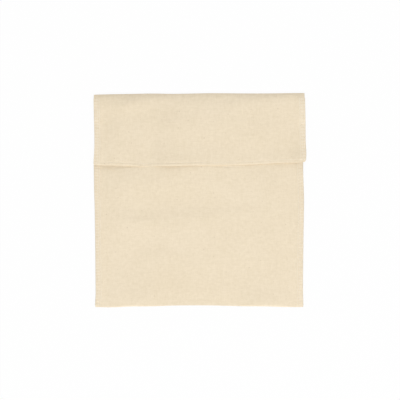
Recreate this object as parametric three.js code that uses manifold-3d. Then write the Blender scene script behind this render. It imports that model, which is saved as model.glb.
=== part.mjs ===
// A flat fold-over lunch bag of undyed cotton canvas, lying on its back, empty and closed.
// It is one long strip of cloth. From its free end the strip runs up as the flap, over the
// rounded top fold, down as the back, round the pressed bottom fold and up again as the
// front, whose hemmed end is the bag's mouth under the flap. The front and the back are
// sewn together along both sides, and the flap lies loose on the front.
//
// Millimetres. +X is to the right and +Y runs from the bottom fold to the top fold, both seen
// from above, and +Z is up. The surface that the bag lies on is at z = 0.
import * as THREE from "three";
import Module from "manifold-3d";

// Driving dimensions
const CLOTH = 1.0; // thickness of one layer of the strip
const FLAP_HEM = 5.5; // cloth turned under along the flap's free edge
const MOUTH_HEM = 9; // cloth turned under along the bag's mouth
const MOUTH_SETBACK = 15; // from the top fold down to the mouth
const TOP_FOLD_RADIUS = 1.45; // of the middle of the cloth
const TOP_FOLD_TILT = THREE.MathUtils.degToRad(24); // slope with which the flap meets it
const SEAM_WIDTH = 6; // band along each side in which front and back are sewn together
const SEAM_INSET = 0.8; // from the cloth's edge to the solid that closes that band
const SEAM_GAP = 0.45; // between front and back beside the seams
const POCKET_PUFF = 1.4; // how far the front stands off the back in its middle, past that
const PUFF_RUN = 40; // from the bottom fold to where the front is at its full height
const HEM_STEP = 0.3; // in which a hem's edge falls to the single cloth
const HEM_EASE = 9; // in which the cloth comes back down beside a hem
const LAP_GAP = 0.5; // between the front and the flap
const LEAST_GAP = 0.35; // that a crease or a hem leaves under it
const CORNER_DROOP = 1.5; // of the flap's right corner, where it reaches past the front
const CORNER_REACH = 3; // how far it does so
const CORNER_RUN = { start: 6, end: 18 }; // from the free edge to where the droop fades out

// Fineness of the faceted sheet
const COLUMNS = 28; // strips of facets across the bag
const NARROWEST = 0.05; // part of a half turn left out, which sets the width of the side columns
const FLAP_ROWS = 13;
const FRONT_ROWS = 19;
const BACK_ROWS = 8;
const FOLD_STEPS = 6;
const SEAM_ROWS = 16;

// Outline of the bag seen from above, as uneven as such a soft thing lies.
const POUCH_SIDES = [
  { y: -102.5, left: -100.6, right: 99.4 },
  { y: -97, left: -100.4, right: 99.1 },
  { y: -90, left: -100.0, right: 98.9 },
  { y: -80, left: -100.2, right: 98.8 },
  { y: -35, left: -100.6, right: 99.3 },
  { y: -5, left: -101.1, right: 99.9 },
  { y: 7, left: -101.5, right: 99.8 },
  { y: 24, left: -101.8, right: 99.2 },
  { y: 36, left: -101.9, right: 99.1 },
  { y: 55, left: -101.1, right: 99.5 },
  { y: 75, left: -101.5, right: 100.1 },
  { y: 90, left: -101.8, right: 100.6 },
  { y: 102, left: -101.8, right: 100.6 },
];
const FLAP_SIDES = [
  { y: 31, left: -102.0, right: 99.5 },
  { y: 38, left: -101.8, right: 101.5 },
  { y: 46, left: -101.3, right: 102.0 },
  { y: 56, left: -101.1, right: 101.5 },
  { y: 75, left: -101.5, right: 101.3 },
  { y: 93, left: -101.9, right: 100.9 },
  { y: 102, left: -101.8, right: 100.6 },
];
const FOLD_LINES = [
  { x: -102, top: 101.3, bottom: -102.5, lip: 33.8 },
  { x: -85, top: 101.8, bottom: -102.7, lip: 33.3 },
  { x: -68, top: 102.1, bottom: -101.8, lip: 32.6 },
  { x: -45, top: 102.4, bottom: -101.8, lip: 32.0 },
  { x: -25, top: 102.2, bottom: -101.1, lip: 32.7 },
  { x: 10, top: 102.7, bottom: -101.2, lip: 33.1 },
  { x: 40, top: 102.5, bottom: -101.7, lip: 33.3 },
  { x: 65, top: 102.6, bottom: -101.7, lip: 34.6 },
  { x: 85, top: 102.8, bottom: -102.5, lip: 35.8 },
  { x: 102, top: 102.9, bottom: -102.6, lip: 36.9 },
];

// Soft ridges (height above 0) and troughs (below 0), each along a straight line. "of" is
// the layer that it is in. The flap's last two are where its free edge lifts off the front.
const CREASES = [
  { of: "front", x1: -96, y1: -14, x2: -50, y2: -19, wide: 8, height: 0.4 },
  { of: "front", x1: -50, y1: -19, x2: 5, y2: -16, wide: 8, height: 0.3 },
  { of: "front", x1: 5, y1: -16, x2: 86, y2: -9, wide: 8, height: 0.2 },
  { of: "front", x1: -54, y1: -6, x2: 26, y2: -4, wide: 12, height: -0.5 },
  { of: "front", x1: -50, y1: 31, x2: 8, y2: 31, wide: 22, height: 0.7 },
  { of: "front", x1: -96, y1: 35, x2: -70, y2: 35, wide: 12, height: -0.4 },
  { of: "front", x1: 50, y1: 33, x2: 96, y2: 32, wide: 12, height: -0.5 },
  { of: "flap", x1: -12, y1: 76, x2: 24, y2: 77, wide: 16, height: 0.5 },
  { of: "flap", x1: 60, y1: 64, x2: 96, y2: 75, wide: 8, height: -0.3 },
  { of: "flap", x1: 94, y1: 41, x2: 108, y2: 42, wide: 7, height: 0.8 },
  { of: "flap", x1: -100, y1: 33, x2: -78, y2: 32, wide: 10, height: 1.6 },
  { of: "flap", x1: -34, y1: 32, x2: -16, y2: 32, wide: 10, height: 1.1 },
];

const { lerp, clamp, smoothstep } = THREE.MathUtils;

// A column of a table at any place along its key, as a smooth curve through the rows.
function between(table, key, column, at) {
  const last = table.length - 1;
  let i = 0;
  while (i < last - 1 && at > table[i + 1][key]) i++;
  const slope = (k) => {
    const a = table[Math.max(k - 1, 0)];
    const b = table[Math.min(k + 1, last)];
    return (b[column] - a[column]) / (b[key] - a[key]);
  };
  const span = table[i + 1][key] - table[i][key];
  const s = clamp((at - table[i][key]) / span, 0, 1);
  const start = table[i][column] * (1 + 2 * s) * (1 - s) ** 2 + slope(i) * span * s * (1 - s) ** 2;
  const end = table[i + 1][column] * (3 - 2 * s) * s * s + slope(i + 1) * span * (s - 1) * s * s;
  return start + end;
}

// What the creases of one layer add to its height at a point.
function creased(layer, x, y) {
  let sum = 0;
  for (const c of CREASES.filter((row) => row.of === layer)) {
    const along = new THREE.Vector2(c.x2 - c.x1, c.y2 - c.y1);
    const from = new THREE.Vector2(x - c.x1, y - c.y1);
    const t = clamp(from.dot(along) / along.lengthSq(), 0, 1);
    const away = from.addScaledVector(along, -t).length() / c.wide;
    sum += c.height * Math.exp(-away * away);
  }
  return sum;
}

// Where the middle of the cloth turns at each fold, and where its two hemmed ends are
const topOf = (x) => between(FOLD_LINES, "x", "top", x) - CLOTH / 2;
const bottomOf = (x) => between(FOLD_LINES, "x", "bottom", x) + CLOTH / 2;
const lipOf = (x) => between(FOLD_LINES, "x", "lip", x);
const mouthOf = (x) => topOf(x) - MOUTH_SETBACK;

// Height of the middle of the front's cloth. The pocket is closest at the seams and the
// bottom fold, and at the mouth there is room for the turned hem.
function frontHeight(x, y) {
  const left = between(POUCH_SIDES, "y", "left", y);
  const right = between(POUCH_SIDES, "y", "right", y);
  const across = clamp((2 * (x - left)) / (right - left) - 1, -1, 1);
  const inside = 1 - across ** 4;
  const puff = POCKET_PUFF * inside * smoothstep(y, bottomOf(x), bottomOf(x) + PUFF_RUN);
  const hemStart = mouthOf(x) - MOUTH_HEM;
  const hemRoom = LEAST_GAP + CLOTH * smoothstep(y, hemStart - HEM_EASE, hemStart);
  const gap = Math.max(SEAM_GAP + puff + creased("front", x, y) * inside, hemRoom);
  return 1.5 * CLOTH + gap;
}

// Height of the middle of the flap's cloth between its free edge and the mouth.
function lappedHeight(x, y) {
  const lip = lipOf(x);
  const hemEnd = lip + FLAP_HEM;
  const hemRoom = CLOTH * (1 - smoothstep(y, hemEnd, hemEnd + HEM_EASE));
  const gap = Math.max(LAP_GAP + creased("flap", x, y), LEAST_GAP);
  const side = between(POUCH_SIDES, "y", "right", y);
  const past = smoothstep(x, side, side + CORNER_REACH);
  const fade = smoothstep(y, lip + CORNER_RUN.start, lip + CORNER_RUN.end);
  return frontHeight(x, y) + CLOTH + gap + hemRoom - CORNER_DROOP * past * (1 - fade);
}

const FOLD_CENTRE_Z = CLOTH / 2 + TOP_FOLD_RADIUS;
const FOLD_START = Math.PI / 2 - TOP_FOLD_TILT;

// From the mouth to the top fold the flap comes down in one curve, level where it leaves the
// mouth and with the fold's own slope where it meets it.
function flapHeight(x, y) {
  const mouth = mouthOf(x);
  if (y <= mouth) return lappedHeight(x, y);
  const foldY = topOf(x) - TOP_FOLD_RADIUS * (1 - Math.cos(FOLD_START));
  const foldZ = FOLD_CENTRE_Z + TOP_FOLD_RADIUS * Math.sin(FOLD_START);
  const high = lappedHeight(x, mouth);
  const s = clamp((y - mouth) / (foldY - mouth), 0, 1);
  const fall = -Math.tan(TOP_FOLD_TILT) * (foldY - mouth);
  return high * (1 + 2 * s) * (1 - s) ** 2 + foldZ * (3 - 2 * s) * s * s + fall * (s - 1) * s * s;
}

// The stations of the strip at one column, from the flap's free edge to the mouth's edge:
// the middle of the cloth, and how far the cloth reaches to its outer and inner side.
function stripStations(across) {
  const stations = [];
  const half = CLOTH / 2;
  const side = (table, y) =>
    lerp(between(table, "y", "left", y), between(table, "y", "right", y), across);
  const middleX = side(POUCH_SIDES, 0);
  const [top, bottom, lip, mouth] = [topOf, bottomOf, lipOf, mouthOf].map((of) => of(middleX));
  const lay = (table, y, height, inner) => {
    const x = side(table, y);
    stations.push({ x, y, z: height(x, y), outer: half, inner });
  };

  // The flap, with its hem turned under
  const foldY = top - TOP_FOLD_RADIUS * (1 - Math.cos(FOLD_START));
  const singleY = lip + FLAP_HEM + HEM_STEP;
  lay(FLAP_SIDES, lip, flapHeight, half + CLOTH);
  lay(FLAP_SIDES, lip + FLAP_HEM, flapHeight, half + CLOTH);
  for (let i = 0; i < FLAP_ROWS; i++) {
    lay(FLAP_SIDES, lerp(singleY, foldY, i / FLAP_ROWS), flapHeight, half);
  }

  // Round the top fold and down the back, which lies flat
  for (let i = 0; i <= FOLD_STEPS; i++) {
    const turn = lerp(FOLD_START, -Math.PI / 2, i / FOLD_STEPS);
    const y = top - TOP_FOLD_RADIUS * (1 - Math.cos(turn));
    const z = FOLD_CENTRE_Z + TOP_FOLD_RADIUS * Math.sin(turn);
    stations.push({ x: side(POUCH_SIDES, y), y, z, outer: half, inner: half });
  }
  const bottomRadius = (SEAM_GAP + CLOTH) / 2;
  for (let i = 1; i < BACK_ROWS; i++) {
    const y = lerp(top - TOP_FOLD_RADIUS, bottom + bottomRadius, i / BACK_ROWS);
    lay(POUCH_SIDES, y, () => half, half);
  }

  // Round the bottom fold and up the front, with its hem turned inside
  for (let i = 0; i < FOLD_STEPS; i++) {
    const turn = -Math.PI / 2 - (Math.PI * i) / FOLD_STEPS;
    const y = bottom + bottomRadius * (1 + Math.cos(turn));
    const z = half + bottomRadius * (1 + Math.sin(turn));
    stations.push({ x: side(POUCH_SIDES, y), y, z, outer: half, inner: half });
  }
  for (let i = 0; i <= FRONT_ROWS; i++) {
    const y = lerp(bottom + bottomRadius, mouth - MOUTH_HEM - HEM_STEP, i / FRONT_ROWS);
    lay(POUCH_SIDES, y, frontHeight, half);
  }
  lay(POUCH_SIDES, mouth - MOUTH_HEM, frontHeight, half + CLOTH);
  lay(POUCH_SIDES, mouth, frontHeight, half + CLOTH);
  return stations;
}

// The closed outline of the cloth at one column: its outer side from the flap's edge to the
// mouth, and its inner side back again.
function clothOutline(across) {
  const stations = stripStations(across);
  const outer = [];
  const inner = [];
  stations.forEach((s, k) => {
    const a = stations[Math.max(k - 1, 0)];
    const b = stations[Math.min(k + 1, stations.length - 1)];
    const along = new THREE.Vector2(b.y - a.y, b.z - a.z).normalize();
    const normal = new THREE.Vector3(0, -along.y, along.x);
    const middle = new THREE.Vector3(s.x, s.y, s.z);
    outer.push(middle.clone().addScaledVector(normal, s.outer));
    inner.push(middle.clone().addScaledVector(normal, -s.inner));
  });
  return outer.concat(inner.reverse());
}

// A closed solid through outlines of equal length, each one further along +X or +Y. Seen
// against that direction, an outline runs clockwise, and its second half runs back beside
// its first, so that each end closes in a row of four-sided faces.
function loft(outlines, wasm) {
  const count = outlines[0].length;
  const last = outlines.length - 1;
  const faces = [];
  const face = (a, b, c, d) => faces.push(a, b, c, a, c, d);
  for (let i = 0; i < last; i++) {
    for (let j = 0; j < count; j++) {
      const k = (j + 1) % count;
      face(i * count + j, (i + 1) * count + j, (i + 1) * count + k, i * count + k);
    }
  }
  for (let j = 0; j < count / 2 - 1; j++) {
    const opposite = count - 1 - j;
    face(j, j + 1, opposite - 1, opposite);
    const end = last * count;
    face(end + opposite, end + opposite - 1, end + j + 1, end + j);
  }
  const vertProperties = new Float32Array(outlines.flat().flatMap((p) => p.toArray()));
  const triVerts = new Uint32Array(faces);
  return new wasm.Manifold(new wasm.Mesh({ numProp: 3, vertProperties, triVerts }));
}

// The whole strip, folded twice, with no side seams yet. Its columns stand closer together
// towards the sides, where the pocket closes.
function foldedStrip(wasm) {
  const outlines = [];
  for (let i = 0; i <= COLUMNS; i++) {
    const turn = Math.PI * lerp(NARROWEST, 1 - NARROWEST, i / COLUMNS);
    outlines.push(clothOutline(0.5 - (0.5 * Math.cos(turn)) / Math.cos(Math.PI * NARROWEST)));
  }
  return loft(outlines, wasm);
}

// What closes the pocket along one side: a band from the middle of the back's cloth to the
// middle of the front's, a little inside the strip's own edge and clear of its ends.
function sideSeam(edge, inward, wasm) {
  const outlines = [];
  const edgeX = between(POUCH_SIDES, "y", edge, 0);
  for (let i = 0; i <= SEAM_ROWS; i++) {
    const y = lerp(bottomOf(edgeX) + 2 * CLOTH, mouthOf(edgeX) - CLOTH, i / SEAM_ROWS);
    const outside = between(POUCH_SIDES, "y", edge, y) + inward * SEAM_INSET;
    const inside = between(POUCH_SIDES, "y", edge, y) + inward * SEAM_WIDTH;
    const [low, high] = [Math.min(outside, inside), Math.max(outside, inside)];
    outlines.push([
      new THREE.Vector3(low, y, CLOTH / 2),
      new THREE.Vector3(high, y, CLOTH / 2),
      new THREE.Vector3(high, y, frontHeight(high, y)),
      new THREE.Vector3(low, y, frontHeight(low, y)),
    ]);
  }
  return loft(outlines, wasm);
}

const wasm = await Module();
wasm.setup();

const sewn = foldedStrip(wasm).add(sideSeam("left", 1, wasm)).add(sideSeam("right", -1, wasm));
const { vertProperties, triVerts } = sewn.getMesh();
const geometry = new THREE.BufferGeometry();
geometry.setAttribute("position", new THREE.BufferAttribute(vertProperties, 3));
geometry.setIndex(new THREE.BufferAttribute(triVerts, 1));
geometry.computeVertexNormals();

// The frame's origin is the middle of the bag's box, on the surface that it lies on.
geometry.computeBoundingBox();
const box = geometry.boundingBox;
geometry.translate(-(box.min.x + box.max.x) / 2, -(box.min.y + box.max.y) / 2, -box.min.z);

const canvas = new THREE.MeshStandardMaterial({ color: 0xeddec3, roughness: 0.92, metalness: 0 });
const bagCloth = new THREE.Mesh(geometry, canvas);
bagCloth.name = "bag_cloth";

const bag = new THREE.Group();
bag.add(bagCloth);

export default bag;
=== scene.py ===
"""A flat fold-over lunch bag of undyed cotton canvas, closed and lying on its back.

One long strip of cloth, with a hem turned under at each end, is folded twice and sewn up both
sides. From its free end it is the flap, the back and the front, whose hem is the mouth. The
threads are the lockstitched hems and the overlocked sides. Everything is in metres, in the
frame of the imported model: +Y runs from the bottom fold to the top fold, and +Z is up.
"""

import math

import bpy
import numpy as np
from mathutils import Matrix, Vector


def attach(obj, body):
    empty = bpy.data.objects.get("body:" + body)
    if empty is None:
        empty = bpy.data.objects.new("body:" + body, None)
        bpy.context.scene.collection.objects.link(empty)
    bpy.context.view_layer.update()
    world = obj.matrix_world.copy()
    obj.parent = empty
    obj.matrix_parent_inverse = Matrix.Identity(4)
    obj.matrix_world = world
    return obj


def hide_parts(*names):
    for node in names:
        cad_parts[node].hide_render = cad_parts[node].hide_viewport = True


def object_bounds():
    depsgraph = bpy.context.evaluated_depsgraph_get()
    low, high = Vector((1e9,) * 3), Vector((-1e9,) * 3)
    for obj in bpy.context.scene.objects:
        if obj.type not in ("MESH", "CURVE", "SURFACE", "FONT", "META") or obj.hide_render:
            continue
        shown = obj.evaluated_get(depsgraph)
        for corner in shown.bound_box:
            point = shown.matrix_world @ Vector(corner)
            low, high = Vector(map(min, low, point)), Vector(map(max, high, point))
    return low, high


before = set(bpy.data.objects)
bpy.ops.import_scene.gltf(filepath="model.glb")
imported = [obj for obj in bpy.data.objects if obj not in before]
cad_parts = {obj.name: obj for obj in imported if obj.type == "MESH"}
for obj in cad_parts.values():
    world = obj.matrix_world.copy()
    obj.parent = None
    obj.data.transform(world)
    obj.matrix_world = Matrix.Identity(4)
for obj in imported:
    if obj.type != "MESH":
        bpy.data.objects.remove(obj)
CAD_LOW, CAD_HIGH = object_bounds()

bl_info = {
    "name": "Cotton Lunch Bag",
    "version": (1, 0, 0),
    "blender": (4, 5, 0),
    "location": "3D View > Sidebar > Lunch Bag",
    "description": "Makes a folded and sewn cotton lunch bag, with its threads and a plain stage",
    "category": "Add Mesh",
}

MM = 0.001

# Names of the pieces, their materials and their maps
CLOTH_PIECE = "bag_canvas"
OVERLOCK_PIECES = ("overlock_left", "overlock_right")
HEM_PIECES = ("flap_hem_stitching", "mouth_hem_stitching")
CANVAS = "woven_canvas"
SPUN_THREAD = "spun_thread"
WEAVE_MAP = "weave"
BAKE_MAP = "OFBake"
THREAD_MAP = "thread"


def table(columns, *rows):
    """Columns of a small table by name, its numbers given in millimetres."""
    return {name: np.array(values) * MM for name, values in zip(columns.split(), zip(*rows))}


# The bag's outline from above, as uneven as a soft thing lies
POUCH_SIDES = table(
    "y left right",
    (-102.5, -100.4, 99.3),
    (-97, -100.2, 99.1),
    (-90, -99.8, 98.9),
    (-80, -99.9, 98.8),
    (-35, -100.3, 99.3),
    (-5, -100.8, 99.8),
    (7, -101.2, 99.7),
    (24, -101.5, 99.1),
    (36, -101.6, 99.0),
    (55, -100.9, 99.4),
    (75, -101.2, 100.0),
    (90, -101.5, 100.5),
    (102, -101.8, 100.5),
)
FLAP_SIDES = table(
    "y left right",
    (31, -101.7, 99.4),
    (38, -101.5, 101.3),
    (46, -101.0, 101.8),
    (56, -100.8, 101.3),
    (75, -101.2, 101.1),
    (93, -101.6, 100.7),
    (102, -101.8, 100.5),
)
FOLD_LINES = table(
    "x top bottom",
    (-102, 101.4, -102.7),
    (-85, 101.8, -103.0),
    (-68, 102.1, -102.2),
    (-45, 102.5, -102.0),
    (-25, 102.2, -101.3),
    (10, 102.8, -101.2),
    (40, 102.6, -101.9),
    (65, 102.6, -102.1),
    (85, 102.9, -102.7),
    (102, 103.0, -102.7),
)
# The flap's lip: how far it stands off the front or presses into it, how deep its stitches
# pull it in, and how far its very edge rolls down
LIP = table(
    "x y lift press groove roll",
    (-102, 33.4, 1.2, 0, 0.15, 0.45),
    (-88, 33.3, 1.6, 0, 0.20, 0.46),
    (-79, 33.1, 1.1, 0, 0.30, 0.56),
    (-67, 32.75, 0.2, 0.1, 0.34, 0.62),
    (-57, 32.25, 0.2, 0.4, 0.10, 0.54),
    (-48, 32.3, 0.0, 1.1, 0.12, 0.40),
    (-41, 32.4, 0.3, 0.5, 0.25, 0.46),
    (-33, 32.5, 1.2, 0, 0.35, 0.64),
    (-20, 32.7, 1.3, 0, 0.35, 0.56),
    (-12, 33.0, 0.6, 0.1, 0.30, 0.42),
    (4, 33.2, 0.2, 0.5, 0.22, 0.30),
    (14, 33.2, 0.2, 0.4, 0.16, 0.30),
    (28, 33.5, 0.2, 0.5, 0.10, 0.32),
    (57, 34.4, 0.0, 1.1, 0.25, 0.25),
    (67, 35.1, 0.0, 0.8, 0.15, 0.18),
    (75, 35.5, 0.0, 0.6, 0.05, 0.12),
    (88, 35.9, 0.0, 0.4, 0.05, 0.08),
    (97.5, 36.2, 0.0, 0.3, 0.05, 0.08),
    (100, 37.2, 0.0, 0.3, 0.05, 0.08),
    (102, 37.8, 0.0, 0.3, 0.05, 0.08),
)

# Soft ridges (height above 0) and troughs (below 0), each along a straight line. "above" is
# its width on the side of the top fold, and "below" its width on the other side.
CREASE_COLUMNS = "x1 y1 x2 y2 above below height"
FRONT_CREASES = table(
    CREASE_COLUMNS,
    (-98, -12, -80, -16, 3.5, 12, 0.35),
    (-80, -16, -60, -20, 3.5, 12, 0.35),
    (-60, -20, -40, -17, 3, 12, 0.28),
    (-40, -17, 5, -16, 3, 12, 0.22),
    (5, -16, 22, -12, 3, 12, 0.14),
    (22, -12, 42, -9, 3, 12, 0.20),
    (42, -9, 88, -8, 4, 14, 0.15),
    (-50, 31, 8, 31, 14, 26, 0.80),
    (-56, -9, -14, -7, 22, 7, -0.62),
    (-14, -7, 26, -5, 22, 7, -0.15),
    (-84, 14, -12, 14, 20, 14, 0.60),
    (-92, -50, -66, -50, 36, 20, -0.95),
    (-92, -101.5, -60, -101, 16.5, 6, 2.00),
    (-84, -88, -64, -89, 4, 6, 0.20),
    (54, -101, 98, -101.5, 14, 6, 2.30),
    (-42, -86, -14, -88, 20, 8, 0.12),
    (-96, 36, -70, 35, 12, 12, -0.40),
    (-96, 34, -30, 33, 16, 9, -0.30),
    (-94, 34, -68, 33, 24, 6, -0.55),
    (48, 34, 96, 33, 22, 9, -0.65),
)
FLAP_CREASES = table(
    CREASE_COLUMNS,
    (-92, 89, -68, 92, 9, 8, 0.75),
    (-68, 92, -36, 98, 5, 7, 0.70),
    (-20, 91, 10, 91, 7, 18, 0.45),
    (40, 95, 96, 96, 6, 16, 0.90),
    (18, 46, 42, 48, 4, 5, 0.15),
    (-12, 76, 24, 77, 11, 24, 0.60),
    (-18, 68, 10, 67, 16, 9, 0.35),
    (-56, 43, -28, 47, 14, 6, 0.20),
    (66, 63, 102, 67, 12, 26, 0.45),
    (46, 33, 92, 37, 11, 2, 0.75),
    (100, 39, 108, 39.5, 9, 7, 1.70),
)

# How near the layers of cloth come to each other, and how round the valleys are there
LEAST_GAP = 0.06 * MM  # front to back
HEM_GAP = 0.1 * MM  # a hem to the layer that it is turned in from
MOUTH_HEM_GAP = 0.15 * MM  # the mouth's hem to the back
LEAST_LAP = 0.15 * MM  # flap to front
GAP_BLEND = 0.1 * MM
HEM_BLEND = 0.2 * MM

# The pouch's two layers
STITCHES_UNDER = 1.25  # thread diameters that the side stitches hold the back up
STITCHES_FADE = 1.8  # where that has died out, in widths of the seam band
SEAM_RISE = 15 * MM  # in from the seam band, where all but 1/e of the puff is there
BOTTOM_RISE = 45 * MM  # the same, up from the bottom fold
HEM_APPROACH = 8 * MM  # how far below the mouth's hem the front starts to make room for it
PRESS_START = (-0.3 * MM, 0.9 * MM)  # up from the flap's lip, where its press comes in
PRESS_FADE = (5 * MM, 45 * MM)  # up from the lip, where that dies out

# The flap
STITCHES_BETWEEN = 2  # thread diameters that it lies higher over the side stitches
STITCHES_BETWEEN_FADE = (5 * MM, 12 * MM)  # in from the side, where that dies out
GROOVE_WIDTH = 0.9 * MM  # from the hem's stitches to where their groove is 1/e as deep
ROLL_WIDTH = 1.8 * MM  # up from the lip, where its roll ends
DROOP = 0.4 * MM  # beside the pouch
DROOP_START = (-0.4 * MM, 3 * MM)  # out from the pouch's side, where that comes in
DROOP_FADE = (6 * MM, 18 * MM)  # up from the lip, where it dies out
LEAST_FALL = 0.05 * MM  # down to the top fold

# Columns of the cloth, finer in a zone at each side and crowded there towards the edge
SIDE_ZONE = 8 * MM
SIDE_COLUMNS = 14
SIDE_CROWDING = 1.5
MIDDLE_COLUMNS = 96

# Rows of a fold, and of each layer: from one fraction of its length to another, so many
FOLD_ROWS = 12
HEM_ROWS = ((0, 1, 9),)
FLAP_ROWS = ((0, 0.12, 22), (0.12, 0.9, 34), (0.9, 1, 12))
BACK_ROWS = ((0, 1, 60),)
FRONT_ROWS = ((0, 0.04, 10), (0.04, 0.69, 62), (0.69, 0.75, 22), (0.75, 1, 24))

EDGE_SHARE = 0.25  # of the cloth's thickness that its two long edges have
BAKE_MARGIN = 0.01  # of the baked map, on all sides

# Threads, with heights over a face of the cloth and distances off its edge in thread radii
THREAD_SIDES = 6
THREAD_CAP = np.array([[0, 1, 2, 3], [0, 3, 4, 5]])  # the two quads that close an end
LOOP_STEPS = 20  # points along an overlock loop
NEEDLE_STEPS = 8  # points along a straight stitch
STITCH_DIP = -1.0  # height of a straight stitch's ends
STITCH_ARCH = 1.3  # how far it rises between them
LOOP_HEIGHT = 0.05  # height of a looper thread
FLAP_LOOP_HEIGHT = -0.3  # the same on the flap, whose single layer holds it deeper
LOOP_TURNS = 0.075  # part of a stitch that it moves on early, at both ends of its way
LOOP_LEAN = 0.12  # part of a stitch that it moves on early, at the inner end
LOOP_WRAP = 0.9  # part of its way out after which it leaves the face
LOOP_STAND = 0.8  # how far off the edge it then lies
CHAIN_STAND = 1.1  # how far off the edge, and how far up and down, the chain lies
CHAIN_SWAY = 0.4  # how much farther out it stands where it crosses the edge's middle
OUTWARD = {"left": -1, "right": 1}
HEM_STOP = 1.2 * MM  # from the hems' stitches to each side
MOUTH_LINE = 0.75  # where the mouth's stitches run, as a share of its hem
SEAM_STOPS = {"bottom": 1.2 * MM, "mouth": 0.5 * MM, "lip": 1.2 * MM, "top": 2.2 * MM}

# Noise on the maps: its lumps in a metre, detail and roughness
WANDER_NOISE = (90.0, 1.0, 0.5)
CLUMP_NOISE = (300.0, 1.5, 0.5)
BLOTCH_NOISE = (22.0, 4.0, 0.55)
LINT_NOISE = (700.0, 3.0, 0.6)
FUZZ_NOISE = (1500.0, 2.0, 0.5)

# Threads of the canvas, their heights in half thicknesses
WANDER = 0.35  # how far they stray sideways, in thread spacings
CRIMP = 0.75  # how much higher or lower they are where they cross
SLUB_HEIGHT = 1.3  # how much higher or lower they are in thick and thin places
SLUB_SCALE = 130.0  # thick places in a metre of thread
WARP_APART, WEFT_APART = 17.3, 13.7  # steps through that noise from thread to thread
WEFT_START = 400.0  # where the weft's noise starts, clear of the warp's

# Tone of the canvas, from its dark colour at 0 to its pale one at 1, and how much each thing
# changes it, painted shade in the gaps between threads among them
TONE = {
    "middle": 0.66, "warp": 0.29, "weft": 0.33, "clumps": 0.58, "lint": 0.18,
    "blotches": 0.45, "painted_gap_shade": 0.5,
}
# Painted shade in the gaps between threads: full below the first weave height, none above the
# second
GAP_SHADE_HEIGHTS = (0.1, 1.0)  # at which a place is all gap, and no gap
DARK_SHARES = (0.90, 0.885, 0.84)  # of the canvas colour's red, green and blue
PALE_SHARES = (1.06, 1.07, 1.10)

# Seed flecks are a few of many spots. Distances are shares of the room for each spot.
SPOT_SCALE = 85.0  # spots in a metre
SPOT_RAGGED = 0.05  # how far lint moves a spot's edge
SPOT_EDGE = (0.015, 0.065)  # from the middle of a spot, where it starts to fade and ends
SPOT_CHANCE = (0.55, 0.60)  # the draws between which spots start to be flecks
FLECK_FAINTEST = 0.06  # how far the faintest goes to the seed colour
FLECK_RANGE = 0.20  # how much farther the strongest goes

# Sewing thread
PLIES = 2.0
PLY_PITCH = 0.9 * MM  # from one ply to the next, along the thread
# The thread's colour is darkest in the grooves between its plies, as painted shade
THREAD_TONE = {"darkest": 0.95, "plies": 0.05, "fuzz": 0.08}  # shares of its colour

# Roughness, how much lint and fuzz change it, and reliefs in millimetres
ROUGHNESS = {"canvas": 0.90, "lint": 0.12, "thread": 0.8, "fuzz": 0.1}
RELIEF = {"weave": 0.075, "lint": 0.05, "plies": 0.04, "fuzz": 0.02}

# Stage
WHITE = (1.0, 1.0, 1.0, 1.0)
FLOOR_REACH = 5.0  # metres from the middle
FLOOR_GLOW = 0.95  # share of the floor that is seen as plain white, for a faint shadow
AIM = (0.15 * MM, 0.18 * MM)  # where the camera looks, from the middle of the solid


def setting(kind, name, description, default, **extra):
    """A bpy property of that kind, such as a length in metres or a colour."""
    return kind(name=name, description=description, default=default, **extra)


def length(name, description, millimetres):
    return setting(
        bpy.props.FloatProperty, name, description, millimetres * MM,
        unit="LENGTH", subtype="DISTANCE", min=0, precision=5,
    )


def colour(name, description, default):
    return setting(
        bpy.props.FloatVectorProperty, name, description, default,
        subtype="COLOR", size=3, min=0, max=1,
    )


def number(name, description, default):
    return setting(bpy.props.FloatProperty, name, description, default, min=0)


class BagClothSettings(bpy.types.PropertyGroup):
    """Sizes and colours of the folded strip of canvas."""

    thickness: length("Thickness", "Of one layer of canvas", 0.6)
    flap_hem: length("Flap hem", "Canvas turned under at the flap's free edge", 5.5)
    mouth_hem: length("Mouth hem", "Canvas turned in at the mouth", 9)
    mouth_setback: length("Mouth setback", "From the top fold down to the mouth", 15)
    fold_radius: length("Top fold radius", "Of the middle of the canvas", 0.8)
    fold_tilt: setting(
        bpy.props.FloatProperty, "Top fold tilt", "Slope of the flap where it leaves the top fold",
        math.radians(33), subtype="ANGLE", unit="ROTATION",
    )
    seam_band: length("Seam band", "Width that the side stitches hold together", 6)
    puff: length("Pocket puff", "How far the empty pocket's front stands up", 2.3)
    lap: length("Flap gap", "Between the flap and the front", 0.3)
    thread_spacing: length("Thread spacing", "Of warp and weft alike", 0.56)
    base: colour("Canvas colour", "Undyed cotton", (0.862, 0.742, 0.557))
    seed: colour("Seed colour", "Flecks of cotton seed in the yarn", (0.36, 0.22, 0.11))


class BagThreadSettings(bpy.types.PropertyGroup):
    """Sizes and colour of the sewing threads."""

    diameter: length("Thread diameter", "Of every sewing thread", 0.34)
    overlock_pitch: length("Overlock pitch", "From one overlock stitch to the next", 2.87)
    overlock_width: length("Overlock width", "From the edge to the inner needle line", 5.2)
    second_needle: length("Second needle", "From the edge to the outer needle line", 3.0)
    hem_pitch: length("Hem pitch", "From one lockstitch to the next", 2.7)
    hem_line: length("Hem line", "From the flap's free edge to its stitches", 2.8)
    base: colour("Thread colour", "Spun cotton, paler than the canvas", (0.94, 0.85, 0.70))


class BagStageSettings(bpy.types.PropertyGroup):
    """Light, floor and camera."""

    world_strength: number("World light", "Even white light from all round", 0.55)
    lamp_power: number("High lamp", "Power of the large soft lamp, in watts", 77.0)
    low_lamp_power: number("Low lamp", "Power of the small lamp past the top fold, in watts", 6.5)
    floor: colour("Floor colour", "White paper", (0.85, 0.85, 0.85))
    lens: number("Lens", "Focal length in millimetres on a 36 mm sensor", 135)
    view_width: length("View width", "What the camera sees across, at the bag", 383.6)


# Shape of the cloth


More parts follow.
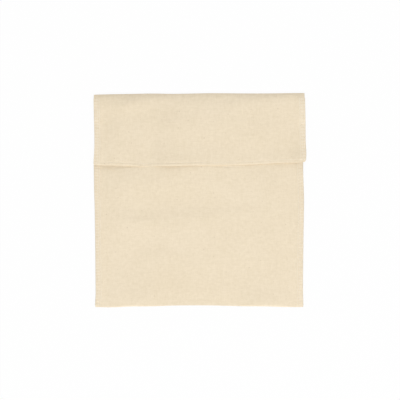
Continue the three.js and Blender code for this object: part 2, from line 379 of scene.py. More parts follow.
def unit(vectors):
    """Each vector divided by its length."""
    return vectors / np.linalg.norm(vectors, axis=-1, keepdims=True)


def along(rows, key, column, at):
    """A column of a table at places along its key: a cubic curve through each pair of rows,
    whose slope at a row is that of the line between its two neighbours."""
    k, v = rows[key], rows[column]
    before = np.concatenate([k[:1], k[:-1]]), np.concatenate([v[:1], v[:-1]])
    after = np.concatenate([k[1:], k[-1:]]), np.concatenate([v[1:], v[-1:]])
    slope = (after[1] - before[1]) / (after[0] - before[0])
    i = np.clip(np.searchsorted(k, at, side="right") - 1, 0, len(k) - 2)
    span = k[i + 1] - k[i]
    s = np.clip((at - k[i]) / span, 0, 1)
    start = v[i] * (1 + 2 * s) * (1 - s) ** 2 + slope[i] * span * s * (1 - s) ** 2
    end = v[i + 1] * (3 - 2 * s) * s**2 + slope[i + 1] * span * (s - 1) * s**2
    return start + end


def ease(value, low, high):
    """0 below low, 1 above high, and 3s^2 - 2s^3 between them."""
    s = np.clip((value - low) / (high - low), 0, 1)
    return s * s * (3 - 2 * s)


def softer_of(a, b, blend):
    """The larger of two heights, rounded where they cross: half of their sum and the root of
    the blend squared plus their difference squared."""
    return (a + b + np.sqrt((a - b) ** 2 + blend**2)) / 2


def creased(rows, x, y):
    """Height that creases add: for each, its own height times e to the minus square of the
    distance from its line over its width, which differs on its two sides."""
    total = np.zeros(np.broadcast(x, y).shape)
    for i in range(len(rows["x1"])):
        c = {name: values[i] for name, values in rows.items()}
        dx, dy = c["x2"] - c["x1"], c["y2"] - c["y1"]
        t = np.clip(((x - c["x1"]) * dx + (y - c["y1"]) * dy) / (dx * dx + dy * dy), 0, 1)
        off_x, off_y = x - c["x1"] - t * dx, y - c["y1"] - t * dy
        wide = np.where(off_y > 0, c["above"], c["below"])
        total += c["height"] * np.exp(-(off_x**2 + off_y**2) / wide**2)
    return total


def cockle(x, y, seed, waves=26, shortest=0.016, longest=0.045, size=0.00008):
    """The faint unevenness of soft cloth: a sum of plane waves whose lengths and directions
    are drawn at random, and whose heights are in proportion to their lengths."""
    draw = np.random.default_rng(seed)
    total = np.zeros(np.broadcast(x, y).shape)
    for _ in range(waves):
        wave = draw.uniform(shortest, longest)
        angle, phase = draw.uniform(0, 2 * math.pi, 2)
        gone = x * math.cos(angle) + y * math.sin(angle)
        total += wave * np.sin(2 * math.pi * gone / wave + phase)
    return size * total / (longest * math.sqrt(waves / 2))


class BagShape:
    """Heights and outlines of the bag's layers, in metres, for the sizes in the settings. Each
    height is that of the middle of the cloth over the surface that the bag lies on."""

    def __init__(self, cloth, thread):
        self.cloth = cloth
        self.thread = thread
        self.half = cloth.thickness / 2
        self.turn_in = cloth.thickness + HEM_GAP
        self.fold_start = math.pi / 2 - cloth.fold_tilt

    def top(self, x):
        """Y of the middle of the cloth at the top fold."""
        return along(FOLD_LINES, "x", "top", x) - self.half

    def bottom(self, x):
        """Y of the middle of the cloth at the bottom fold."""
        return along(FOLD_LINES, "x", "bottom", x) + self.half

    def lip(self, x):
        """Y of the middle of the cloth at the flap's lip."""
        return along(LIP, "x", "y", x) + self.half

    def mouth(self, x):
        """Y of the middle of the cloth at the mouth."""
        return self.top(x) - self.cloth.mouth_setback

    def flap_end(self, x):
        """Y where the flap meets the round of the top fold."""
        return self.top(x) - self.cloth.fold_radius * (1 - math.cos(self.fold_start))

    def inset(self, x, y):
        """Distance from the nearer side of the pouch."""
        left = along(POUCH_SIDES, "y", "left", y)
        right = along(POUCH_SIDES, "y", "right", y)
        return np.maximum(np.minimum(x - left, right - x), 0)

    def back(self, x, y):
        """Flat on the surface, and a little more than a thread higher over the side stitches."""
        band = self.cloth.seam_band
        on_stitches = 1 - ease(self.inset(x, y), band, STITCHES_FADE * band)
        return self.half + STITCHES_UNDER * self.thread.diameter * on_stitches

    def front(self, x, y):
        """The back's height, one layer, and a gap that closes at the seams and the bottom
        fold and opens for the hem at the mouth. The flap's lip presses it in, at most as far
        as the back."""
        under_lip = ease(y - self.lip(x), *PRESS_START)
        lowest = self.back(x, y) + self.cloth.thickness + LEAST_GAP
        return np.maximum(self.puffed(x, y) - self.pressed(x, y) * under_lip, lowest)

    def pressed(self, x, y):
        """How far the lip of the flap presses the front in, less and less up to the mouth."""
        return along(LIP, "x", "press", x) * (1 - ease(y - self.lip(x), *PRESS_FADE))

    def puffed(self, x, y):
        """The front as it would be with nothing on it."""
        cloth = self.cloth
        inside = 1 - np.exp(-np.maximum(self.inset(x, y) - cloth.seam_band, 0) / SEAM_RISE)
        up = 1 - np.exp(-np.maximum(y - self.bottom(x), 0) / BOTTOM_RISE)
        shape = creased(FRONT_CREASES, x, y) + cockle(x, y, seed=3)
        gap = LEAST_GAP + (cloth.puff * up + shape) * inside
        gap = softer_of(gap, LEAST_GAP, GAP_BLEND)
        hem_start = self.mouth(x) - cloth.mouth_hem
        hem_room = (self.turn_in + MOUTH_HEM_GAP) * ease(y - hem_start, -HEM_APPROACH, 0)
        return self.back(x, y) + cloth.thickness + softer_of(gap, hem_room, HEM_BLEND)

    def lapped(self, x, y):
        """The flap as it lies on the front, and on past the mouth: rising evenly from there
        to its lip, with a groove under the hem's stitches and its very edge rolled down, and
        drooping at the right where it reaches past the pouch."""
        cloth = self.cloth
        lip, mouth = self.lip(x), self.mouth(x)
        ramp = np.clip((mouth - y) / (mouth - lip), 0, 1)
        rise = ramp * (self.turn_in + along(LIP, "x", "lift", x))
        on_stitches = 1 - ease(self.inset(x, y), *STITCHES_BETWEEN_FADE)
        threads = STITCHES_BETWEEN * self.thread.diameter * on_stitches
        stitch_line = (y - lip - self.thread.hem_line) / GROOVE_WIDTH
        groove = along(LIP, "x", "groove", x) * np.exp(-(stitch_line**2))
        groove += along(LIP, "x", "roll", x) * np.clip(1 - (y - lip) / ROLL_WIDTH, 0, 1) ** 2
        gap = cloth.lap + threads + creased(FLAP_CREASES, x, y) + cockle(x, y, seed=8)
        gap = softer_of(gap, LEAST_LAP + threads, GAP_BLEND)
        past_pouch = x - along(POUCH_SIDES, "y", "right", y)
        droop = DROOP * ease(past_pouch, *DROOP_START) * (1 - ease(y - lip, *DROOP_FADE))
        y_under = np.minimum(y, mouth)
        under = self.puffed(x, y_under) - self.pressed(x, y_under)
        return under + cloth.thickness + gap + rise - groove - droop

    def flap(self, x, y):
        """As lapped(), less a fall to the top fold that shrinks with the distance from it by
        a power of e, and meets it at the fold's own slope."""
        fold_y = self.flap_end(x)
        fold_z = self.half + self.cloth.fold_radius * (1 + math.sin(self.fold_start))
        high = self.lapped(x, np.minimum(y, fold_y))
        fall = np.maximum(self.lapped(x, fold_y) - fold_z, LEAST_FALL)
        reach = fall / math.tan(self.cloth.fold_tilt)
        return high - fall * np.exp(-np.maximum(fold_y - y, 0) / reach)


def row_fractions(parts):
    """Fractions of a layer's length, evenly spaced in each part: its start, end and count."""
    return np.concatenate([
        np.linspace(start, end, count, endpoint=end == 1) for start, end, count in parts
    ])


class FoldedStrip:
    """The middle of the cloth as a grid, rows along the strip and columns across it, with
    its normals and the length of cloth from its first row. Flat layers follow each other,
    joined by half turns round the folds."""

    def __init__(self, shape):
        self.shape = shape
        self.across = self.column_fractions()
        self.layers = []
        self.spans = {}
        self.lay_strip()
        self.middle = np.concatenate(self.layers)
        down, over = np.gradient(self.middle, axis=(0, 1))
        self.normal = unit(np.cross(over, down))
        steps = np.linalg.norm(np.diff(self.middle, axis=0), axis=-1).mean(axis=1)
        self.run_length = np.concatenate([[0], np.cumsum(steps)])
        self.width = np.linalg.norm(self.middle[:, -1] - self.middle[:, 0], axis=-1).mean()

    def column_fractions(self):
        """Columns from the left side, 0, to the right one, 1, closest together at both."""
        side = SIDE_ZONE / (POUCH_SIDES["right"] - POUCH_SIDES["left"]).mean()
        near = side * (np.arange(SIDE_COLUMNS) / SIDE_COLUMNS) ** SIDE_CROWDING
        middle = np.linspace(side, 1 - side, MIDDLE_COLUMNS)
        return np.concatenate([near, middle, 1 - near[::-1]])

    def column_x(self, sides, y):
        """X of each column at each y: a straight line from the left side to the right one."""
        left, right = along(sides, "y", "left", y), along(sides, "y", "right", y)
        return left + (right - left) * self.across

    def lay_strip(self):
        """Every layer and fold in turn, from the hem of the flap to that of the mouth."""
        shape, cloth = self.shape, self.shape.cloth
        x = self.column_x(POUCH_SIDES, 0 * self.across)
        top, bottom, lip, mouth = shape.top(x), shape.bottom(x), shape.lip(x), shape.mouth(x)
        turn, radius = shape.turn_in / 2, cloth.fold_radius

        hem_end, flap_start, flap_end = lip + cloth.flap_hem, lip + turn, shape.flap_end(x)
        self.layer("flap_hem", FLAP_SIDES, hem_end, flap_start, HEM_ROWS, shape.flap, 2 * turn)
        z = shape.flap(self.column_x(FLAP_SIDES, flap_start), flap_start) - turn
        self.fold(FLAP_SIDES, flap_start, z, turn, 1.5 * math.pi, 0.5 * math.pi)
        self.layer("flap", FLAP_SIDES, flap_start, flap_end, FLAP_ROWS, shape.flap)

        back_start, z = top - radius, shape.half + radius
        self.fold(POUCH_SIDES, back_start, z, radius, shape.fold_start, -0.5 * math.pi)
        # the bottom fold is as wide as the layers are apart a millimetre from it
        x, y = self.column_x(POUCH_SIDES, bottom), bottom + MM
        bend = (shape.front(x, y) - shape.back(x, y)) / 2
        back_end = bottom + bend
        self.layer("back", POUCH_SIDES, back_start, back_end, BACK_ROWS, shape.back)
        z = shape.back(x, y) + bend
        self.fold(POUCH_SIDES, back_end, z, bend, 1.5 * math.pi, 0.5 * math.pi)

        front_end, hem_end = mouth - turn, mouth - cloth.mouth_hem
        self.layer("front", POUCH_SIDES, back_end, front_end, FRONT_ROWS, shape.front)
        z = shape.front(self.column_x(POUCH_SIDES, front_end), front_end) - turn
        self.fold(POUCH_SIDES, front_end, z, turn, 0.5 * math.pi, -0.5 * math.pi)
        self.layer("mouth_hem", POUCH_SIDES, front_end, hem_end, HEM_ROWS, shape.front, 2 * turn)

    def layer(self, name, sides, start, end, parts, height, drop=0.0):
        """Rows of y from start to end, in those parts, each that far below a height."""
        fractions = row_fractions(parts)
        y = start + (end - start) * fractions[:, None]
        x = self.column_x(sides, y)
        first = sum(map(len, self.layers))
        self.spans[name] = (start, end, fractions, first)
        self.layers.append(np.stack([x, y, height(x, y) - drop], axis=-1))

    def fold(self, sides, y, z, radius, start, end):
        """Rows round a circle of that radius about (y, z), between one angle and another, an
        angle of 0 pointing along +Y. The layers have the rows at the two angles."""
        angle = np.linspace(start, end, FOLD_ROWS)[1:-1, None]
        y, z = y + radius * np.cos(angle), z + radius * np.sin(angle)
        rows = np.broadcast_arrays(self.column_x(sides, y), y, z)
        self.layers.append(np.stack(rows, axis=-1))

    def at(self, layer, across, y):
        """Points and normals on the middle of a layer, at one or more fractions of the
        strip's width and the given y, by straight lines between the grid's points."""
        start, end, fractions, first = self.spans[layer]
        start, end = (np.interp(across, self.across, row_y) for row_y in (start, end))
        gone = np.clip((y - start) / (end - start), 0, 1)
        row = first + np.interp(gone, fractions, np.arange(len(fractions)))
        column = np.interp(across, self.across, np.arange(len(self.across)))
        i = np.clip(row.astype(int), first, first + len(fractions) - 2)
        j = np.clip(column.astype(int), 0, len(self.across) - 2)
        s, t = (row - i)[..., None], (column - j)[..., None]

        def mix(grid):
            low = grid[i, j] * (1 - t) + grid[i, j + 1] * t
            high = grid[i + 1, j] * (1 - t) + grid[i + 1, j + 1] * t
            return low * (1 - s) + high * s

        return mix(self.middle), mix(self.normal)


# Meshes


def quads_of(rows, columns, closed=False):
    """Faces of a grid numbered row by row; closed joins its last column to its first."""
    i = np.arange(rows - 1)[:, None] * columns
    j = np.arange(columns if closed else columns - 1)[None, :]
    k = (j + 1) % columns
    return np.stack([i + j, i + k, i + columns + k, i + columns + j], axis=-1).reshape(-1, 4)


def map_places(u, v):
    """Places on a map for a grid: the u of each of its columns and the v of each row."""
    return np.stack(np.broadcast_arrays(u, v[:, None]), axis=-1).reshape(-1, 2)


def new_object(name, data):
    """An object at the origin of the scene."""
    made = bpy.data.objects.new(name, data)
    bpy.context.scene.collection.objects.link(made)
    return made


def new_piece(name, points, faces, maps, material):
    """A smooth mesh object with a UV map for each of the named places."""
    mesh = bpy.data.meshes.new(name)
    mesh.from_pydata(points.tolist(), [], faces.tolist())
    corner = np.empty(len(mesh.loops), np.int32)
    mesh.loops.foreach_get("vertex_index", corner)
    for map_name, places in maps.items():
        layer = mesh.uv_layers.new(name=map_name)
        layer.uv.foreach_set("vector", places[corner].astype(np.float32).ravel())
    mesh.shade_smooth()
    mesh.materials.append(material)
    if mesh.validate():
        raise RuntimeError(f"{name} has faces that Blender had to mend")
    return new_object(name, mesh)


def cloth_surface(strip):
    """The strip's outer and inner sides, half a thickness either way from its middle and
    drawn together in a round along its two long edges, joined round all four edges."""
    half = strip.shape.half
    from_edge = np.minimum(strip.across, 1 - strip.across) * strip.width
    round_edge = np.sqrt(1 - (1 - np.clip(from_edge / half, 0, 1)) ** 2)
    reach = (half * (EDGE_SHARE + (1 - EDGE_SHARE) * round_edge))[None, :, None]
    outer = strip.middle + strip.normal * reach
    inner = strip.middle - strip.normal * reach
    rows, columns = outer.shape[:2]
    points = np.concatenate([outer.reshape(-1, 3), inner.reshape(-1, 3)])
    count = rows * columns
    top = quads_of(rows, columns)
    faces = [top[:, ::-1], top + count]
    index = np.arange(count).reshape(rows, columns)
    # the four edges in turn, one way round the strip, so that their walls face outwards
    for edge in (index[:, 0], index[-1], index[::-1, -1], index[0, ::-1]):
        wall = np.stack([edge[:-1], edge[1:], edge[1:] + count, edge[:-1] + count], axis=-1)
        faces.append(wall)
    weave = map_places(strip.across * strip.width, strip.run_length)
    # the baked map holds both sides of the strip, one in each half of its width
    beside = weave * ((1 - 2 * BAKE_MARGIN) / strip.run_length[-1]) + BAKE_MARGIN
    maps = {
        WEAVE_MAP: np.concatenate([weave, weave]),
        BAKE_MAP: np.concatenate([beside, beside + [0.5, 0]]),
    }
    return points, np.concatenate(faces), maps


def thread_surface(path, radius, side):
    """A round profile carried along a path. Its frame at a point is the path's tangent, the
    tangent across the given side direction, and their cross product. Two flat quads close
    each end. The map's u goes round the thread and its v along it."""
    steps = len(path)
    tangent = unit(np.gradient(path, axis=0))
    first = unit(np.cross(tangent, side))
    second = np.cross(tangent, first)
    angle = np.arange(THREAD_SIDES) / THREAD_SIDES * 2 * math.pi
    ring = np.cos(angle)[:, None] * first[:, None] + np.sin(angle)[:, None] * second[:, None]
    points = path[:, None] + radius * ring
    far_end = THREAD_CAP + (steps - 1) * THREAD_SIDES
    round_it = quads_of(steps, THREAD_SIDES, closed=True)
    faces = np.concatenate([round_it, THREAD_CAP[:, ::-1], far_end])
    gone = np.concatenate([[0], np.cumsum(np.linalg.norm(np.diff(path, axis=0), axis=-1))])
    return points.reshape(-1, 3), faces, map_places(angle * radius, gone)


def joined(threads):
    """One set of points, faces and map places from those of several threads."""
    starts = np.cumsum([0] + [len(points) for points, _, _ in threads])
    points = np.concatenate([points for points, _, _ in threads])
    faces = np.concatenate([faces + start for (_, faces, _), start in zip(threads, starts)])
    return points, faces, np.concatenate([places for _, _, places in threads])


# Shaders


def arithmetic(operation, swapped=False):
    """A method that puts a value, and the other one if there is one, through a Math node."""

    def method(self, *other):
        inputs = (*other, self) if swapped else (self, *other)
        settings = {"operation": operation}
        return self.shader.node("ShaderNodeMath", settings, dict(enumerate(inputs)))

    return method


class Value:
    """A shader socket that takes part in Python arithmetic, each step a Math node."""

    def __init__(self, shader, socket):
        self.shader = shader
        self.socket = socket

    __add__ = __radd__ = arithmetic("ADD")
    __sub__ = arithmetic("SUBTRACT")
    __rsub__ = arithmetic("SUBTRACT", swapped=True)
    __mul__ = __rmul__ = arithmetic("MULTIPLY")
    __truediv__ = arithmetic("DIVIDE")
    __rtruediv__ = arithmetic("DIVIDE", swapped=True)
    __mod__ = arithmetic("FLOORED_MODULO")
    __rmod__ = arithmetic("FLOORED_MODULO", swapped=True)
    larger = arithmetic("MAXIMUM")
    floor = arithmetic("FLOOR")
    fraction = arithmetic("FRACT")
    sine = arithmetic("SINE")


class Shader:
    """The node tree of a material or world, and the one method that adds a node to it."""

    def __init__(self, owner):
        owner.use_nodes = True
        self.owner = owner
        self.tree = owner.node_tree
        self.tree.nodes.clear()

    def node(self, kind, settings=None, values=None, output=0):
        """Adds a node: its settings first, then the value or link of each input, by name or
        number."""
        made = self.tree.nodes.new(kind)
        for name, value in (settings or {}).items():
            setattr(made, name, value)
        for name, value in (values or {}).items():
            if isinstance(value, Value):
                self.tree.links.new(value.socket, made.inputs[name])
            else:
                made.inputs[name].default_value = value
        return Value(self, made.outputs[output]) if made.outputs else made

    def outputs(self, value, *names):
        """Outputs, by name or number, of the node that a value comes from."""
        return [Value(self, value.socket.node.outputs[name]) for name in names]

    def parts(self, vector):
        """The three numbers of a vector."""
        return self.outputs(self.node("ShaderNodeSeparateXYZ", values={0: vector}), 0, 1, 2)

    def flat_vector(self, x, y):
        """A vector with those two numbers first, and 0 as its third."""
        return self.node("ShaderNodeCombineXYZ", values={0: x, 1: y})

    def noise(self, place, scale, detail=2.0, roughness=0.5):
        """Smooth noise from about -0.5 to 0.5."""
        values = {"Vector": place, "Scale": scale, "Detail": detail, "Roughness": roughness}
        return self.node("ShaderNodeTexNoise", {"noise_dimensions": "2D"}, values) - 0.5

    def ramp(self, value, low, high):
        """0 below low, 1 above high, and smooth between."""
        settings = {"interpolation_type": "SMOOTHSTEP"}
        values = {"Value": value, "From Min": low, "From Max": high}
        return self.node("ShaderNodeMapRange", settings, values)

    def mix(self, factor, a, b):
        """Colour a where factor is 0 and b where it is 1."""
        settings = {"data_type": "RGBA", "clamp_factor": True}
        return self.node("ShaderNodeMix", settings, {0: factor, 6: a, 7: b}, output=2)

    def tinted(self, rgb, amount):
        """A colour times a number."""
        settings = {"operation": "SCALE"}
        return self.node("ShaderNodeVectorMath", settings, {0: tuple(rgb), "Scale": amount})

    def cotton(self, base, roughness, relief):
        """A matte cotton surface with a relief in millimetres, as the material's output."""
        bumps = {"Strength": 1.0, "Distance": MM, "Height": relief}
        values = {
            "Base Color": base,
            "Roughness": roughness,
            "Normal": self.node("ShaderNodeBump", values=bumps),
            "Specular IOR Level": 0.18,
            "Sheen Weight": 0.06,
            "Sheen Roughness": 0.6,
        }
        made = self.node("ShaderNodeBsdfPrincipled", values=values)
        self.node("ShaderNodeOutputMaterial", values={"Surface": made})
        return self.owner


def canvas_material(cloth):
    """Plain-weave canvas. Warp and weft cross over and under each other on the weave map, each
    thread with its own tone and thick places, with painted shade in the gaps between them, and
    seed flecks and lint lie on them."""
    s = Shader(bpy.data.materials.new(CANVAS))
    place = s.node("ShaderNodeUVMap", {"uv_map": WEAVE_MAP})
    u, v, _ = s.parts(place)
    wander = s.noise(place, *WANDER_NOISE) * (WANDER * cloth.thread_spacing)
    warp = (u + wander) / cloth.thread_spacing
    weft = (v + wander) / cloth.thread_spacing
    warp_index, weft_index = warp.floor(), weft.floor()
    over = 1 - 2 * ((warp_index + weft_index) % 2.0)
    warp_round = (warp.fraction() * math.pi).sine()
    weft_round = (weft.fraction() * math.pi).sine()

    # thick and thin places, long along a thread and one thread wide
    warp_slub = s.noise(s.flat_vector(warp_index * WARP_APART, v * SLUB_SCALE), 1.0)
    weft_place = weft_index * WEFT_APART + WEFT_START
    weft_slub = s.noise(s.flat_vector(weft_place, u * SLUB_SCALE), 1.0)
    warp_height = warp_round + over * weft_round * CRIMP + warp_slub * SLUB_HEIGHT
    weft_height = weft_round - over * warp_round * CRIMP + weft_slub * SLUB_HEIGHT
    height = warp_height.larger(weft_height)
    lint = s.noise(place, *LINT_NOISE)

    # tone: threads, clumps of fibre, soft blotches, and painted shade in the gaps between threads
    tone = TONE["middle"] + warp_slub * TONE["warp"] + weft_slub * TONE["weft"]
    tone += s.noise(place, *CLUMP_NOISE) * TONE["clumps"] + lint * TONE["lint"]
    tone += s.noise(place, *BLOTCH_NOISE) * TONE["blotches"]
    # painted shade, darker where the weave is low between the threads
    tone -= (1 - s.ramp(height, *GAP_SHADE_HEIGHTS)) * TONE["painted_gap_shade"]

    # seed flecks: a few small spots, each in its own random place and of its own strength
    spots = s.node(
        "ShaderNodeTexVoronoi",
        {"voronoi_dimensions": "2D", "feature": "F1"},
        {"Vector": place, "Scale": SPOT_SCALE, "Randomness": 1.0},
    )
    distance, draws = s.outputs(spots, "Distance", "Color")
    chance, _, strength = s.parts(draws)
    fleck = 1 - s.ramp(distance + lint * SPOT_RAGGED, *SPOT_EDGE)
    fleck *= s.ramp(chance, *SPOT_CHANCE)
    fleck *= FLECK_FAINTEST + FLECK_RANGE * strength * strength
    dark, pale = (
        (*(c * share for c, share in zip(cloth.base, shares)), 1.0)
        for shares in (DARK_SHARES, PALE_SHARES)
    )
    base = s.mix(fleck, s.mix(tone, dark, pale), (*cloth.seed, 1.0))
    roughness = ROUGHNESS["canvas"] - lint * ROUGHNESS["lint"]
    return s.cotton(base, roughness, height * RELIEF["weave"] + lint * RELIEF["lint"])


def thread_material(thread):
    """Spun cotton thread: plies twist round it, on the thread map, with painted shade in the
    grooves between them, and fuzz roughens it.
    """
    s = Shader(bpy.data.materials.new(SPUN_THREAD))
    place = s.node("ShaderNodeUVMap", {"uv_map": THREAD_MAP})
    u, v, _ = s.parts(place)
    around = u / (thread.diameter / 2)
    ply = ((around * PLIES + v * (2 * math.pi / PLY_PITCH)).sine() + 1) * 0.5
    fuzz = s.noise(place, *FUZZ_NOISE)
    # painted shade, darker in the grooves between the plies
    tone = THREAD_TONE["darkest"] + ply * THREAD_TONE["plies"] + fuzz * THREAD_TONE["fuzz"]
    roughness = ROUGHNESS["thread"] - fuzz * ROUGHNESS["fuzz"]
    relief = ply * RELIEF["plies"] + fuzz * RELIEF["fuzz"]
    return s.cotton(s.tinted(thread.base, tone), roughness, relief)


def material_named(name, make, settings):
    """That material, made the first time that it is asked for."""
    return bpy.data.materials.get(name) or make(settings)


# Operators


class PieceOperator:
    """What the operators that make a piece of the bag share."""

    bl_options = {"REGISTER", "UNDO"}

    def start(self, context):
        """Lays the folded strip for the sizes in the panel."""
        scene = context.scene
        self.cloth, self.thread = scene.bag_cloth, scene.bag_thread
        self.radius = self.thread.diameter / 2
        self.strip = FoldedStrip(BagShape(self.cloth, self.thread))

    def keep_threads(self, name, threads):
        """One piece of sewing thread from several threads."""
        points, faces, places = joined(threads)
        material = material_named(SPUN_THREAD, thread_material, self.thread)
        piece = new_piece(name, points, faces, {THREAD_MAP: places}, material)
        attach(piece, "root")

    def stitches(self, layer, side, across, y, phase):
        """A row of straight stitches on one side of a layer. Between two whole numbers of
        the phase, the thread arches up out of the cloth as the root of a half sine."""
        point, normal = self.strip.at(layer, across, y)
        arch = np.abs(np.sin(math.pi * phase)) ** 0.5
        lift = self.strip.shape.half + self.radius * (STITCH_DIP + STITCH_ARCH * arch)
        return thread_surface(point + normal * (side * lift)[:, None], self.radius, (0, 0, 1))


class BAG_OT_side_overlock(PieceOperator, bpy.types.Operator):
    """Sew the overlock stitches round both side edges: through front and back on the pouch,
    and through one layer on the flap and past the mouth."""

    bl_idname = "bag.side_overlock"
    bl_label = "Side overlock"

    def from_edge(self, edge, inset):
        """The fraction across the strip of a distance in from its left or right edge."""
        fraction = inset / self.strip.width
        return fraction if edge == "left" else 1 - fraction

    def seam_edge(self, near, far, edge, y):
        """The middle of the seam's edge, halfway between the edges of its two layers."""
        at_edge = self.from_edge(edge, 0)
        return (self.strip.at(near, at_edge, y)[0] + self.strip.at(far, at_edge, y)[0]) / 2

    def loops(self, near, far, side, edge, first_y, count):
        """The looper thread of one face. Within a stitch it goes out to the edge and back as
        half a cosine, and moves on mostly at its two ends. Past nine tenths of the way out
        it leaves the cloth for the middle of the seam's edge."""
        thread, radius = self.thread, self.radius
        stitch, phase = np.divmod(np.arange(count * LOOP_STEPS) / LOOP_STEPS, 1)
        angle = 2 * math.pi * phase
        step = phase + LOOP_TURNS * np.sin(2 * angle) + LOOP_LEAN * np.sin(angle)
        y = first_y + thread.overlock_pitch * (stitch + step)
        out = 0.5 - 0.5 * np.cos(angle)
        inset = thread.overlock_width * (1 - out)
        point, normal = self.strip.at(near, self.from_edge(edge, inset), y)
        height = radius * (FLAP_LOOP_HEIGHT if near == "flap" else LOOP_HEIGHT)
        on_face = point + normal * side * (self.strip.shape.half + height)
        outward = [OUTWARD[edge] * LOOP_STAND * radius, 0, 0]
        on_edge = self.seam_edge(near, far, edge, y) + outward
        wrap = ease(out, LOOP_WRAP, 1)[:, None]
        return thread_surface(on_face * (1 - wrap) + on_edge * wrap, radius, (0, 1, 0))

    def chain(self, near, far, edge, first_y, count):
        """The locked loops along the edge itself, as one thread that goes up and down the
        seam's thickness as a sine, once a stitch, and stands out most where it crosses."""
        phase = np.arange(count * LOOP_STEPS) / LOOP_STEPS * 2 * math.pi
        y = first_y + self.thread.overlock_pitch * phase / (2 * math.pi)
        path = self.seam_edge(near, far, edge, y)
        stand = CHAIN_STAND + CHAIN_SWAY * np.cos(2 * phase)
        path[:, 0] += OUTWARD[edge] * self.radius * stand
        path[:, 2] += CHAIN_STAND * self.radius * np.sin(phase)
        return thread_surface(path, self.radius, (0, 0, 1))

    def execute(self, context):
        self.start(context)
        shape, pitch = self.strip.shape, self.thread.overlock_pitch
        for name, edge in zip(OVERLOCK_PIECES, ("left", "right")):
            x = POUCH_SIDES[edge].mean()
            bottom = shape.bottom(x) + SEAM_STOPS["bottom"]
            mouth = shape.mouth(x) - SEAM_STOPS["mouth"]
            lip = along(LIP, "x", "y", FLAP_SIDES[edge][0]) + SEAM_STOPS["lip"]
            top = shape.top(x) - SEAM_STOPS["top"]
            # a seam: its two faces, each a layer and the side of it that shows, and its ends
            seams = [
                (("front", 1), ("back", 1), bottom, mouth),
                (("flap", 1), ("flap", -1), lip, top),
                (("back", -1), ("back", 1), mouth, top),
            ]
            threads = []
            for one, other, first_y, last_y in seams:
                count = int((last_y - first_y) / pitch)
                phase = np.arange(count * NEEDLE_STEPS) / NEEDLE_STEPS
                threads.append(self.chain(one[0], other[0], edge, first_y, count))
                for (near, side), (far, _) in ((one, other), (other, one)):
                    threads.append(self.loops(near, far, side, edge, first_y, count))
                    for inset in (self.thread.overlock_width, self.thread.second_needle):
                        across, y = self.from_edge(edge, inset), first_y + pitch * phase
                        threads.append(self.stitches(near, side, across, y, phase))
            self.keep_threads(name, threads)
        return {"FINISHED"}


class BAG_OT_hem_stitching(PieceOperator, bpy.types.Operator):
    """Sew the two rows of lockstitches: along the flap's hem and along the mouth's."""

    bl_idname = "bag.hem_stitching"
    bl_label = "Hem stitching"

    def execute(self, context):
        self.start(context)
        thread, strip, shape = self.thread, self.strip, self.strip.shape
        end = HEM_STOP / strip.width
        count = int(strip.width * (1 - 2 * end) / thread.hem_pitch)
        phase = np.linspace(0, count, count * NEEDLE_STEPS + 1)
        across = end + (1 - 2 * end) * phase / count
        left, right = POUCH_SIDES["left"].mean(), POUCH_SIDES["right"].mean()
        x = left + (right - left) * across
        lines = (
            (("flap", "flap_hem"), shape.lip(x) + thread.hem_line),
            (("front", "mouth_hem"), shape.mouth(x) - MOUTH_LINE * self.cloth.mouth_hem),
        )
        for name, (layers, y) in zip(HEM_PIECES, lines):
            rows = [self.stitches(layer, 1, across, y, phase) for layer in layers]
            self.keep_threads(name, rows)
        return {"FINISHED"}


class BAG_OT_cloth(PieceOperator, bpy.types.Operator):
    bl_idname = "bag.cloth"
    bl_label = "Canvas"

    def execute(self, context):
        self.start(context)
        points, faces, maps = cloth_surface(self.strip)
        material = material_named(CANVAS, canvas_material, self.cloth)
        piece = new_piece(CLOTH_PIECE, points, faces, maps, material)
        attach(piece, "root")
        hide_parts("bag_cloth")
        return {"FINISHED"}


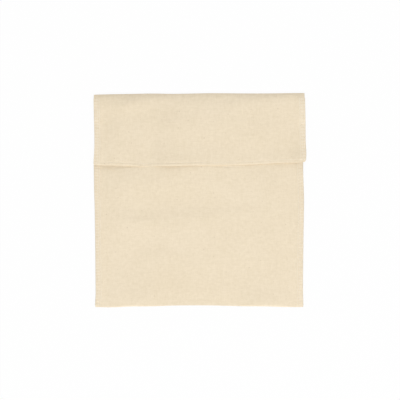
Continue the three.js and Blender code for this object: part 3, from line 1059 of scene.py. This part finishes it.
class BAG_OT_stage(bpy.types.Operator):
    """Set up the white floor, the soft light from above and the camera looking straight down."""

    bl_idname = "bag.stage"
    bl_label = "Stage"
    bl_options = {"REGISTER", "UNDO"}

    def execute(self, context):
        stage = context.scene.bag_stage
        self.make_floor(stage)
        self.make_world(context, stage)
        high = {"size": 2.2, "tilt": 45.0, "turn": -78.0, "distance": 3.4}
        self.make_lamp("high_softbox", stage.lamp_power, **high)
        low = {"size": 0.8, "tilt": 63.0, "turn": 90.0, "distance": 2.0}
        self.make_lamp("low_softbox", stage.low_lamp_power, **low)
        self.make_camera(context, stage)
        context.scene.view_settings.view_transform = "Standard"
        return {"FINISHED"}

    def seen(self, s):
        """1 for a ray from the camera, or one that a mirror or glass passes on."""
        names = ("Is Camera Ray", "Is Glossy Ray", "Is Transmission Ray")
        camera, mirror, glass = s.outputs(s.node("ShaderNodeLightPath"), *names)
        return camera.larger(mirror).larger(glass)

    def make_floor(self, stage):
        """White paper, nearly all of it seen as plain white, so that a faint shadow stays."""
        s = Shader(bpy.data.materials.new("white_paper"))
        paper = s.node("ShaderNodeBsdfDiffuse", values={"Color": (*stage.floor, 1.0)})
        glow = s.node("ShaderNodeEmission", values={"Color": WHITE, "Strength": 1.0})
        share = self.seen(s) * FLOOR_GLOW
        mixed = s.node("ShaderNodeMixShader", values={0: share, 1: paper, 2: glow})
        s.node("ShaderNodeOutputMaterial", values={"Surface": mixed})
        mesh = bpy.data.meshes.new("floor")
        signs = ((-1, -1), (1, -1), (1, 1), (-1, 1))
        corners = [(x * FLOOR_REACH, y * FLOOR_REACH, 0) for x, y in signs]
        mesh.from_pydata(corners, [], [(0, 1, 2, 3)])
        mesh.materials.append(s.owner)
        floor = new_object("floor", mesh)

    def make_world(self, context, stage):
        """White light from all round, seen as plain white."""
        s = Shader(bpy.data.worlds.new("studio"))
        context.scene.world = s.owner
        seen = self.seen(s)
        strength = seen + (1 - seen) * stage.world_strength
        values = {"Color": WHITE, "Strength": strength}
        background = s.node("ShaderNodeBackground", values=values)
        s.node("ShaderNodeOutputWorld", values={"Surface": background})

    def make_lamp(self, name, power, size, tilt, turn, distance):
        """A square softbox aimed at the bag, at that tilt in degrees from straight up,
        towards a direction that many degrees anticlockwise from +X."""
        lamp = bpy.data.lights.new(name, "AREA")
        lamp.shape = "SQUARE"
        lamp.size = size
        lamp.energy = power
        holder = new_object(name, lamp)
        tilt, turn = math.radians(tilt), math.radians(turn)
        out = math.sin(tilt)
        away = Vector((out * math.cos(turn), out * math.sin(turn), math.cos(tilt)))
        holder.location = away * distance
        holder.rotation_euler = away.to_track_quat("Z", "Y").to_euler()

    def make_camera(self, context, stage):
        """Straight above, as far away as the lens needs to see the view width."""
        camera = bpy.data.cameras.new("camera")
        camera.lens = stage.lens
        camera.sensor_width = 36
        holder = new_object("camera", camera)
        half_angle = math.atan(camera.sensor_width / 2 / stage.lens)
        away = stage.view_width / 2 / math.tan(half_angle)
        middle = (CAD_LOW + CAD_HIGH) / 2
        holder.location = (middle.x + AIM[0], middle.y + AIM[1], middle.z + away)
        camera.clip_start = 0.01
        camera.clip_end = 50
        context.scene.camera = holder


class BAG_PT_panel(bpy.types.Panel):
    """Lists the sizes and the operators that make the bag."""

    bl_label = "Lunch Bag"
    bl_idname = "BAG_PT_panel"
    bl_space_type = "VIEW_3D"
    bl_region_type = "UI"
    bl_category = "Lunch Bag"

    def draw(self, context):
        for group in SETTINGS:
            settings = getattr(context.scene, group)
            box = self.layout.box()
            for name in settings.bl_rna.properties.keys():
                if name not in ("rna_type", "name"):
                    box.prop(settings, name)
        for operator in OPERATORS:
            self.layout.operator(operator.bl_idname)


OPERATORS = (BAG_OT_stage, BAG_OT_side_overlock, BAG_OT_hem_stitching, BAG_OT_cloth)
SETTINGS = {
    "bag_cloth": BagClothSettings,
    "bag_thread": BagThreadSettings,
    "bag_stage": BagStageSettings,
}
CLASSES = (*SETTINGS.values(), *OPERATORS, BAG_PT_panel)


def register():
    for one in CLASSES:
        bpy.utils.register_class(one)
    for name, group in SETTINGS.items():
        setattr(bpy.types.Scene, name, bpy.props.PointerProperty(type=group))


def unregister():
    for name in SETTINGS:
        delattr(bpy.types.Scene, name)
    for one in reversed(CLASSES):
        bpy.utils.unregister_class(one)


def main():
    """Makes the stage and every piece."""
    register()
    bpy.ops.bag.stage()
    bpy.ops.bag.side_overlock()
    bpy.ops.bag.hem_stitching()
    bpy.ops.bag.cloth()
    bpy.context.view_layer.update()


if __name__ == "__main__":
    main()
